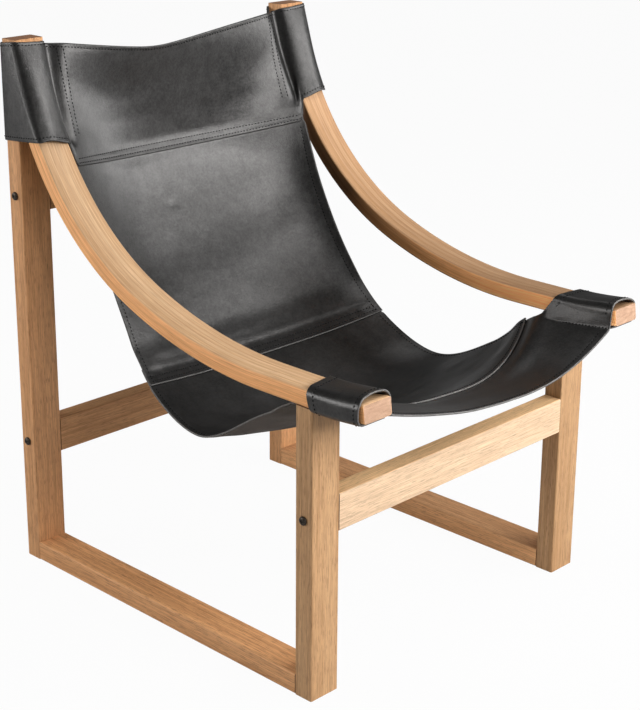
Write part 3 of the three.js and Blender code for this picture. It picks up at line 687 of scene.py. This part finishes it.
def row_places(start, end, step, exact=()):
    """Lengths from start to end, about a step apart, with some exact ones among them."""
    marks = np.unique(np.round(np.r_[start, [e for e in exact if start < e < end], end], 4))
    out = []
    for a, b in zip(marks[:-1], marks[1:]):
        out.extend(np.linspace(a, b, max(int(math.ceil((b - a) / step)), 1) + 1)[:-1])
    return np.array(out + [marks[-1]])


def both_sides(half):
    """Shares from -1 to 1 across a panel, from distances to its middle."""
    return np.r_[-half[:0:-1], half] / panel_edge


edge_insets = (22, 17, 13, 10.4, hem, 6.6, 4.2, edge_row, 0)
column_step = 3.2
panel_columns = both_sides(np.r_[np.arange(0, panel_edge - 26, column_step),
                                 [panel_edge - i for i in edge_insets]])


def cloth_relief(x, s, inset):
    """Small unevenness of the hide, outwards from the grain side, and the groove of the hem."""
    wave = 0.8 * value_noise(x / 95 + 7.3, s / 120 + 3.1, 11) + 0.22 * value_noise(x / 34, s / 41, 12)
    return wave * (0.35 + 0.65 * smoothstep(0, 60, inset)) + row_grooves(inset, (hem,))


def over(d, lap):
    """Height at which a sheet lies over the next one, at a distance from its lower edge."""
    return layer * (1 - smoothstep(lap + lap_hold, lap + lap_rise, d))


def joined(wraps, panel, reach, rounds, strength):
    """A panel with a wrap at each side, smoothed where they meet, and the panel's columns in it."""
    p = np.concatenate([wraps[-1][:, ::-1], panel, wraps[1]], axis=1)
    first, last = wraps[1].shape[1], wraps[1].shape[1] + panel.shape[1]
    w = np.zeros((1, p.shape[1], 1))
    for c in (first, last):
        w[:, c - reach:c + reach] = strength
    for _ in range(rounds):
        q = p.copy()
        q[:, 1:-1] = (p[:, :-2] + 2 * p[:, 1:-1] + p[:, 2:]) / 4
        p = p * (1 - w) + q * w
    return p, first, last


# Back and seat panels

def back_relief(x, s, inset, u):
    """Pressed spot, shallow hollow and soft fold of the back."""
    s0 = s - length_at(HEAD_SEAM)
    dent = -0.6 * bump(x, -40, 11) * bump(s0, 95, 6)
    hollow = -2.4 * bump(x, -60, 140) * bump(s0, 80, 75)
    below = s0 - (238 - 0.18 * x)
    fold = 5.0 * bump(below, 0, np.where(below < 0, 58, 95)) * smoothstep(0, 70, inset)
    far_corner = 2.2 * bump(u, 0.62, 0.22) * bump(s0, 92, 48)
    return dent + hollow + fold + far_corner


def seat_relief(x, s, inset, u):
    """Shallow creases of the seat, away from its seam and hems."""
    crease = 0.9 * value_noise(x / 55 + s / 140, s / 26, 21)
    return crease * smoothstep(30, 90, s - length_at(SEAT_SEAM)) * smoothstep(0, 40, inset)


def puckered_lap(x, d, inset):
    """Ridge over the hidden edge of the seat, and gathers between the two rows of stitches."""
    ridge = 27
    pressed = -1.5 * smoothstep(0, ridge, d) * (1 - smoothstep(ridge, seat_lap + 1, d))
    gathers = 0.6 * value_noise(x / 6.5, d / 16, 31) + 0.25 * value_noise(x / 14, d / 20, 32)
    gathered = pressed + gathers * bump(d, seat_rows[1], 9)
    return gathered * smoothstep(0, 26, inset) + row_grooves(d, seat_rows)


def plain_lap(x, d, inset):
    return row_grooves(d, band_rows)


def head_lap_relief(x, d, inset):
    """The stiff lap keeps the back's slope, so the headrest's middle starts from further behind."""
    bend_at, bend_end, bend_depth, bend_reach = 26.0, 95.0, 5.4, 200.0
    share = np.clip(d / bend_at, 0, 1)
    bend = bend_depth * (1.25 * share - 0.25 * share ** 5) * (1 - smoothstep(bend_at, bend_end, d))
    return row_grooves(d, head_rows) - bend * np.clip(1 - (x / bend_reach) ** 2, 0, 1)


def make_panel(name, materials, upper, lower, relief, insets):
    """A panel from under its upper neighbour to over its lower one; a join is a station, lap and relief."""
    seam_s, end_s = length_at(upper[0]), length_at(lower[0])
    start_s, last = seam_s - upper[1], end_s - lower[1]
    exact = [start_s + edge_row, seam_s, last, last - lap_rise, end_s - edge_row]
    for d in insets:
        exact += [end_s - d - 2, end_s - d, end_s - d + 2]
    s = row_places(start_s, end_s, 5.0, exact)
    U, S = np.meshgrid(panel_columns, s)
    U = U * (1 - lap_inset / panel_edge * (1 - smoothstep(seam_s - 2, seam_s + 8, S)))
    middle = sling(U, t_at(S))
    x = middle[..., 0]
    inset = (1 - np.abs(U)) * panel_edge
    lift = cloth_relief(x, S, inset) + relief(x, S, inset, U)
    lift = lift * smoothstep(seam_s, seam_s + lap_fade, S) * smoothstep(last, last - lap_fade, S)
    lift = lift + np.where(S < seam_s, upper[2](x, seam_s - S, inset), 0)
    lift = lift + lower[2](x, end_s - S, inset) + over(end_s - S, lower[1])
    p = middle - sling_normal(U, t_at(S)) * lift[..., None]
    obj, face, n = sheet_object("fine_" + name, p, materials)

    def column(inset, side):
        return nearest(panel_columns, side * (1 - inset / panel_edge))

    paths = [seam_path(face, n, s > seam_s + 2, column(hem, side)) for side in (1, -1)]
    paths += lap_paths(face, n, s, end_s, insets, slice(column(5, -1), column(5, 1) + 1))
    finish_sheet(obj, name, stitch_object("stitching_" + name, paths))


head_join = (HEAD_SEAM, head_lap, head_lap_relief)
seat_join = (SEAT_SEAM, seat_lap, puckered_lap)
band_join = (BAND_SEAM, band_lap, plain_lap)
make_panel("leather_back", hide_dim_edge, head_join, seat_join, back_relief, seat_rows)
make_panel("leather_seat", hide, seat_join, band_join, seat_relief, band_rows)


# Headrest with its sleeves

def sleeve_plan(z, share):
    """Plan of a sleeve at a height, from the arm's inner front edge round to the post's inner side."""
    front = min(float(arm_front(z)), post_face) - skin
    rear, outer, inner = frame_depth + skin, half_width + skin, half_inner - skin
    r1, r2 = 6.5, 4.6
    plan = np.concatenate([
        line((half_inner - 1.2, front + 2.6), (half_inner + 3.2, front + 0.2), 2),
        line((half_inner + 3.2, front + 0.2), (outer - r1, front), 11, False),
        arc(outer - r1, front + r1, r1, -90, 0, 7),
        line((outer, front + r1), (outer, rear - r2), 13, False),
        arc(outer - r2, rear - r2, r2, 0, 90, 6),
        line((outer - r2, rear), (inner + r2, rear), 11, False),
        arc(inner + r2, rear - r2, r2, 90, 180, 6),
    ])
    fr = np.clip((plan[:, 0] - half_inner) / (outer - half_inner), 0, 1)
    on_front = plan[:, 1] < front + 3
    bulge = (5.0 + 6.0 * math.sin(math.pi * share)) * 4 * fr * (1 - fr)
    ripple = 0.7 * np.sin(math.pi * fr) * np.sin(2 * math.pi * (fr * 1.5 + 0.35 * share))
    plan[on_front, 1] -= np.maximum(bulge + ripple, 0)[on_front]
    on_side = np.abs(plan[:, 0] - outer) < 0.01
    fs = np.clip((plan[:, 1] - front) / (rear - front), 0, 1)
    plan[on_side, 0] += (1.2 * np.sin(math.pi * fs))[on_side]
    return plan


def head_hollow(x, s0):
    """Soft hollow in the near half of the headrest, at a length from its lower seam."""
    return -7.0 * bump(x, -125, 75) * bump(s0, -107, 46)


def valley_at(x, t):
    """Depth of the hollow between the headrest's panel and its sleeves."""
    share = np.clip(t / SLEEVE_END, 0, 1)
    depth = sleeve_valley[0] + (sleeve_valley[1] - sleeve_valley[0]) * share
    width = 6 + 14 * (1 - share) ** 2
    return depth * bump(np.abs(x), 259 + 2 * share, width) * (1 - smoothstep(1.9, 2.35, t))


def make_headrest():
    seam_s = length_at(HEAD_SEAM)
    exact = [edge_row, top_row, 10] + [seam_s - d for d in (edge_row, 5, 9.5, 14, 18)]
    s = row_places(0, seam_s, 4.0, exact)
    near_sleeve = (228, sleeve_seam[0], 237, sleeve_seam[1], 246, 250, 254, 258, panel_edge)
    half = np.r_[np.arange(0, 226, 6.5), near_sleeve]
    U, S = np.meshgrid(both_sides(half), s)
    T = t_at(S)
    panel = sling(U, T)
    x = panel[..., 0]
    last = seam_s - head_lap
    lift = cloth_relief(x, S, 300 + 0 * S) * smoothstep(last, last - lap_fade, S)
    lift = lift * smoothstep(0, 14, S) * smoothstep(263, 225, np.abs(x)) + head_hollow(x, S - seam_s)
    sewn = 1 - smoothstep(SLEEVE_END - 0.05, SLEEVE_END + 0.1, T)
    lift = lift + sewn * row_grooves(np.abs(x), sleeve_seam) + row_grooves(S, (top_row,))
    lift = lift + head_lap_relief(x, seam_s - S, None) + over(seam_s - S, head_lap)
    panel = panel - sling_normal(U, T) * (lift - valley_at(x, T))[..., None]
    flap_u = np.array([252, 247, 242, 238, 234]) / panel_edge
    flap_gap = 0.9
    wraps = {}
    for sign in (1, -1):
        grid = []
        for sh in s / seam_s:
            level = sleeve_top + (sleeve_bottom - sleeve_top) * sh
            plan = sleeve_plan(level, sh)
            front = min(float(arm_front(level)), post_face)
            outward = np.clip((plan[:, 0] - half_inner) / member_width, 0, 1)
            forward = np.clip((frame_depth - plan[:, 1]) / (frame_depth - front), 0, 1)
            level_edge = sleeve_level * sh * np.sin(math.pi * outward ** 1.6)
            z = level + (sleeve_lift * (1 + sh) / 2 * outward + level_edge) * forward
            t_flap = SLEEVE_END * (0.02 + 0.96 * sh)
            under = layer + flap_gap + valley_at(flap_u * panel_edge, t_flap)
            flap = sling(sign * flap_u, t_flap) + sling_normal(sign * flap_u, t_flap) * under[:, None]
            grid.append(np.concatenate([np.c_[sign * plan[:, 0], plan[:, 1], z], flap]))
        wraps[sign] = np.array(grid)
    p, first, last = joined(wraps, panel, 6, 3, 0.8)
    obj, face, n = sheet_object("fine_leather_headrest", p, hide_shadow_edge)
    xs = p[len(s) // 2, first:last, 0]
    sleeve_rows = (t_at(s) < SLEEVE_END) & (s > 3)
    paths = [seam_path(face, n, sleeve_rows, first + nearest(xs, sign * seam_x))
             for seam_x in sleeve_seam for sign in (1, -1)]
    top, low = nearest(s, top_row), nearest(s, seam_s - 6.5)
    paths.append(seam_path(face, n, top, slice(first, last)))
    count = first - len(flap_u)
    for r in (top, low):
        paths.append(seam_path(face, n, r, slice(last, last + count)))
        paths.append(seam_path(face, n, r, slice(first - count, first)))
    paths += lap_paths(face, n, s, seam_s, head_rows, slice(first + 2, last - 2))
    finish_sheet(obj, "leather_headrest",
                 stitch_object("stitching_leather_headrest", paths))


make_headrest()


# Front band with its loops

loop_top = 4.6
loop_slack = 3.6
loop_inner = half_inner - loop_slack
loop_outer = half_width + loop_slack
loop_bottom = arm_underside - 3.0
tail_width = 22.0


def loop_section(arch, seam):
    """Section of a loop, from its closing seam over the arm's top and round to the underside."""
    top = arm_top + loop_top
    r, r_low = 12.0, 9.0
    section = np.concatenate([
        line((seam[0] + 1.0, seam[1] + 4.5), (loop_inner, top - r), 5),
        arc(loop_inner + r, top - r, r, 180, 90, 8)[1:],
        line((loop_inner + r, top), (loop_outer - r, top), 8, False),
        arc(loop_outer - r, top - r, r, 90, 0, 8),
        line((loop_outer, top - r), (loop_outer, loop_bottom + r_low), 3, False),
        arc(loop_outer - r_low, loop_bottom + r_low, r_low, 0, -90, 6),
        line((loop_outer - r_low, loop_bottom), (half_inner + 8, loop_bottom), 8, False),
        np.array([[half_inner + 8, loop_bottom]]),
    ])
    fr = np.clip((section[:, 0] - loop_inner) / (loop_outer - loop_inner), 0, 1)
    upper = section[:, 1] > arm_top - 7
    section[upper, 1] += (arch * np.sin(math.pi * fr ** 0.8) ** 0.9)[upper]
    fs = np.clip((section[:, 1] - loop_bottom) / (top - loop_bottom), 0, 1)
    outside = section[:, 0] > loop_outer - r
    section[outside, 0] += (1.6 * np.sin(math.pi * fs))[outside]
    return section, fr


def make_front_band():
    seam_s, turn_s, leg_s, end_s = (length_at(t) for t in (BAND_SEAM, WING_TURN, LEG_FACE, FRONT))
    start_s = seam_s - band_lap
    exact = [start_s + edge_row, seam_s, turn_s, leg_s] + [end_s - d for d in (edge_row, 4, hem, 12)]
    s = row_places(start_s, end_s, 4.0, exact)
    U, S = np.meshgrid(panel_columns, s)
    panel = sling(U, t_at(S))
    x = panel[..., 0]
    lift = cloth_relief(x, S, 300 + 0 * S) * smoothstep(0, 60, (1 - np.abs(U)) * panel_edge)
    lift = lift * smoothstep(seam_s, seam_s + lap_fade, S) + row_grooves(end_s - S, (hem,))
    lift = lift + np.where(S < seam_s, plain_lap(x, seam_s - S, None), 0)
    panel = panel - sling_normal(U, t_at(S)) * lift[..., None]
    loop_rear = [0, 0.26, 0.56, 0.72, 0.8, 1], [42, 15, 8, 0, -skin, -skin]
    gathered = 0.06
    share = np.where(s < turn_s, gathered * (s - s[0]) / (turn_s - s[0]),
                     gathered + (1 - gathered) * (s - turn_s) / (end_s - turn_s))
    tail_u = 1 - np.array([0.1, 0.4, 0.7, 1.0]) * tail_width / panel_edge
    wraps = {}
    for sign in (1, -1):
        grid = []
        for sh in share:
            closing = side_curve(WING_TURN + (FRONT - WING_TURN) * sh)
            section, fr = loop_section(1.0 + 4.6 * smoothstep(0.1, 1, sh), (closing[0], closing[2]))
            along = lengths(section)
            rear = np.interp(along / along[-1], *loop_rear)
            top_share = np.clip((section[:, 1] - arm_top) / loop_top, 0, 1)
            y = rear + (front_edge + 4 * top_share * np.sin(math.pi * fr) - rear) * sh
            ring = np.c_[sign * section[:, 0], y, section[:, 1] + tip_rise_at(y)]
            t_tail = LEG_FACE + (FRONT - LEG_FACE) * sh * 0.8
            tail = sling(sign * tail_u, t_tail) + sling_normal(sign * tail_u, t_tail) * layer
            grid.append(np.concatenate([ring, tail]))
        wraps[sign] = np.array(grid)
    p, first, last = joined(wraps, panel, 5, 2, 0.7)
    obj, face, n = sheet_object("fine_leather_front_band", p, hide)
    front_row, rear_row = nearest(s, end_s - hem), nearest(share, 0.14)
    paths = [seam_path(face, n, front_row, slice(first + 3, last - 3))]
    count = first - len(tail_u)
    for r in (front_row, rear_row):
        paths.append(seam_path(face, n, r, slice(last + 4, last + count)))
        paths.append(seam_path(face, n, r, slice(first - count, first - 4)))
    paths += [seam_path(face, n, s >= leg_s - 4, c) for c in (first, last - 1)]
    finish_sheet(obj, "leather_front_band",
                 stitch_object("stitching_leather_front_band", paths))


make_front_band()


# Bent arms with grain along the bend

def rounded_section(width, height, radius, steps=6):
    w, h = width / 2, height / 2
    corners = [(w - radius, h - radius, 0), (-w + radius, h - radius, 90),
               (-w + radius, -h + radius, 180), (w - radius, -h + radius, 270)]
    return np.concatenate([arc(cx, cy, radius, a, a + 90, steps) for cx, cy, a in corners])


def make_arm(side, sign):
    section = rounded_section(member_width, arm_thickness, arm_edge_radius)
    count = len(section)
    tip_y, tip_z, tip_slope, tip_length = arm_rows[0]
    rows = []
    for d, shrink in np.array([(0.0, 1.0), (0.35, 0.35), (1.0, 0.0)]) * arm_tip_ease:
        rows.append((tip_y + d, tip_z, tip_slope, tip_length + d, shrink))
    rows += [(*r, 0.0) for r in arm_rows[1:]]
    verts, grain = [], []
    for y, z, slope, length, shrink in rows:
        sx = section[:, 0] * (1 - 2 * shrink / member_width)
        sd = section[:, 1] * (1 - 2 * shrink / arm_thickness) - arm_thickness / 2
        py = np.minimum(y - sd * math.sin(slope), post_face - fit_gap)
        pz = np.minimum(z + sd * math.cos(slope), arm_top_meet - arm_blunt_end)
        verts.append(np.c_[sign * member_middle + sx, py, pz])
        grain.append(np.c_[sx + grain_offset * sign, sd, np.full(count, length)])
    faces = tube_faces(len(rows), count)
    obj = new_object("fine_arm_" + side, to_scene(np.concatenate(verts)), faces,
                     [wood_bent[side], wood_end], [0] * (len(faces) - 2) + [1, 1])
    grain_data = obj.data.attributes.new("grain", "FLOAT_VECTOR", "POINT")
    grain_data.data.foreach_set("vector", (np.concatenate(grain) * MM).astype(np.float32).ravel())
    for cap in (len(faces) - 2, len(faces) - 1):
        obj.data.polygons[cap].use_smooth = False
    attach(obj, "root")
    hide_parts("arm_" + side)


make_arm("left", 1)
make_arm("right", -1)


# Bolts with domed heads and hexagon sockets

def make_bolt(node_name):
    low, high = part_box(node_name)
    sign = 1 if low.x > 0 else -1
    centre_y, centre_z = (low.y + high.y) / 2, (low.z + high.z) / 2
    count = 48
    angles = np.arange(count) * 2 * math.pi / count
    from_flat = (angles + math.pi / 6) % (math.pi / 3) - math.pi / 6
    hexagon = math.cos(math.pi / 6) / np.cos(from_flat)
    dome_start = socket_radius + 0.5
    rings = [(bolt_shank_radius, -bolt_shank_length), (bolt_shank_radius, 0.0),
             (bolt_head_radius - 0.5, 0.0), (bolt_head_radius, 0.4), (bolt_head_radius, bolt_rim)]
    rings += [(dome_start + (bolt_head_radius - dome_start) * math.cos(q),
               bolt_rim + (bolt_head_height - bolt_rim) * math.sin(q))
              for q in np.radians([12, 28, 45, 62, 78, 90])]
    rings += [((socket_radius + 0.15) * hexagon, bolt_head_height),
              (socket_radius * hexagon, bolt_head_height - 0.3),
              (socket_radius * hexagon, bolt_head_height - socket_depth)]
    verts = np.concatenate([np.c_[np.full(count, sign * (bolt_seat + h)), r * np.cos(angles),
                                  r * np.sin(angles)] for r, h in rings]) * MM
    faces = tube_faces(len(rings), count)
    obj = new_object("fine_" + node_name, verts + (0, centre_y, centre_z),
                     faces if sign > 0 else [f[::-1] for f in faces], [bolt_metal], np.zeros(len(faces)))
    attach(obj, "root")
    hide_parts(node_name)


for name in sorted(nodes):
    if name.startswith("bolt_"):
        make_bolt(name)


# Finishes of the straight members and the small hidden pieces

for name in sorted(nodes):
    for start, finish in finishes.items():
        if name.startswith(start):
            nodes[name].data.materials.clear()
            nodes[name].data.materials.append(finish)


# Camera at the photograph's viewing angle

def make_camera():
    picture = (640, 710)
    sensor = 36.0
    focal_px, middle_px = 1674.7, (300.7, 316.3)
    place = Vector((-1.8904, front_y - 1.5229, 1.3305))
    az, el, roll = (math.radians(v) for v in (-45.334, 18.371, 0.196))
    back = Vector((math.sin(az) * math.cos(el), -math.cos(az) * math.cos(el), math.sin(el)))
    right = Vector((0, 0, 1)).cross(back).normalized()
    up = back.cross(right)
    x = math.cos(roll) * right + math.sin(roll) * up
    y = -math.sin(roll) * right + math.cos(roll) * up
    data = bpy.data.cameras.new("camera")
    data.sensor_width = sensor
    data.sensor_fit = "AUTO"
    data.lens = focal_px / max(picture) * sensor
    data.shift_x = (picture[0] / 2 - middle_px[0]) / max(picture)
    data.shift_y = (middle_px[1] - picture[1] / 2) / max(picture)
    data.clip_start, data.clip_end = 0.05, 200
    obj = bpy.data.objects.new("camera", data)
    scene.collection.objects.link(obj)
    obj.matrix_world = Matrix.Translation(place) @ Matrix((x, y, back)).transposed().to_4x4()
    scene.camera = obj


make_camera()


# Floor, lights and world

def make_floor():
    """A white floor that keeps a soft shadow."""
    f = Finish("floor_white")
    f.put("Base Color", (0.55, 0.55, 0.55, 1))
    f.put("Roughness", 0.9)
    f.put("Specular IOR Level", 0.1)
    glow = f.add("Emission", {"Color": (1, 1, 1, 1), "Strength": 1.0})
    share = f.seen_white(0.2, 0.96)
    blend = f.add("MixShader", {0: share, 1: f.shader.outputs[0], 2: glow.outputs[0]})
    f.feed(f.out.inputs[0], blend.outputs[0])
    size, below = 40.0, -0.0004
    verts = [(x * size, y * size, below) for x, y in ((-1, -1), (1, -1), (1, 1), (-1, 1))]
    new_object("floor", verts, [(0, 1, 2, 3)], [f.material], [0], smooth=False)


def softbox(name, azimuth, elevation, distance, size, radiance):
    """A soft light seen from the chair at an azimuth from its front towards its left, in degrees."""
    az, el = math.radians(azimuth), math.radians(elevation)
    aim = Vector((math.sin(az) * math.cos(el), -math.cos(az) * math.cos(el), math.sin(el)))
    data = bpy.data.lights.new(name, "AREA")
    data.shape = "RECTANGLE"
    data.size, data.size_y = size
    data.energy = radiance * math.pi * size[0] * size[1]
    obj = bpy.data.objects.new(name, data)
    scene.collection.objects.link(obj)
    obj.location = Vector((0, 0, 0.5)) + aim * distance
    obj.rotation_mode = "QUATERNION"
    obj.rotation_quaternion = aim.to_track_quat("Z", "Y")


def make_world():
    """A pale wall round the studio that darkens towards the ceiling; the camera sees it white."""
    world = bpy.data.worlds.new("studio")
    scene.world = world
    world.use_nodes = True
    n = Nodes(world.node_tree)
    aim_x, aim_y, aim_z = n.add("SeparateXYZ", {0: n.add("TexCoord").outputs["Generated"]}).outputs
    wall = n.spread(aim_z, 0.0, 0.4, 0.21, 0.04, "SMOOTHSTEP")
    wall = n.times(wall, n.spread(aim_y, -0.6, 0.8, 1.0, 0.25))
    wall = n.times(wall, n.spread(aim_x, 0.2, 0.9, 1.0, 0.35))
    dim = n.add("Background", {0: (1, 1, 1, 1), 1: wall})
    white = n.add("Background", {0: (1, 1, 1, 1), 1: 1.0})
    blend = n.add("MixShader", {0: n.seen_white(0.1), 1: dim.outputs[0], 2: white.outputs[0]})
    n.add("OutputWorld", {0: blend.outputs[0]})


make_floor()
softbox("key_low", 22, 19, 2.75, (4.3, 0.42), 11.4)
softbox("key_middle", 28, 26, 2.9, (4.0, 0.5), 6.8)
softbox("key_high", 34, 35.5, 3.16, (2.8, 0.7), 3.4)
softbox("side", 73, 6.5, 2.8, (1.2, 0.72), 7.0)
softbox("rim", 126, 53, 2.6, (0.7, 0.6), 3.0)
softbox("fill", -130, 13, 3.0, (1.8, 1.0), 7.6)
softbox("top", -45, 70, 2.4, (1.6, 1.6), 3.0)
make_world()
scene.view_settings.view_transform = "Standard"
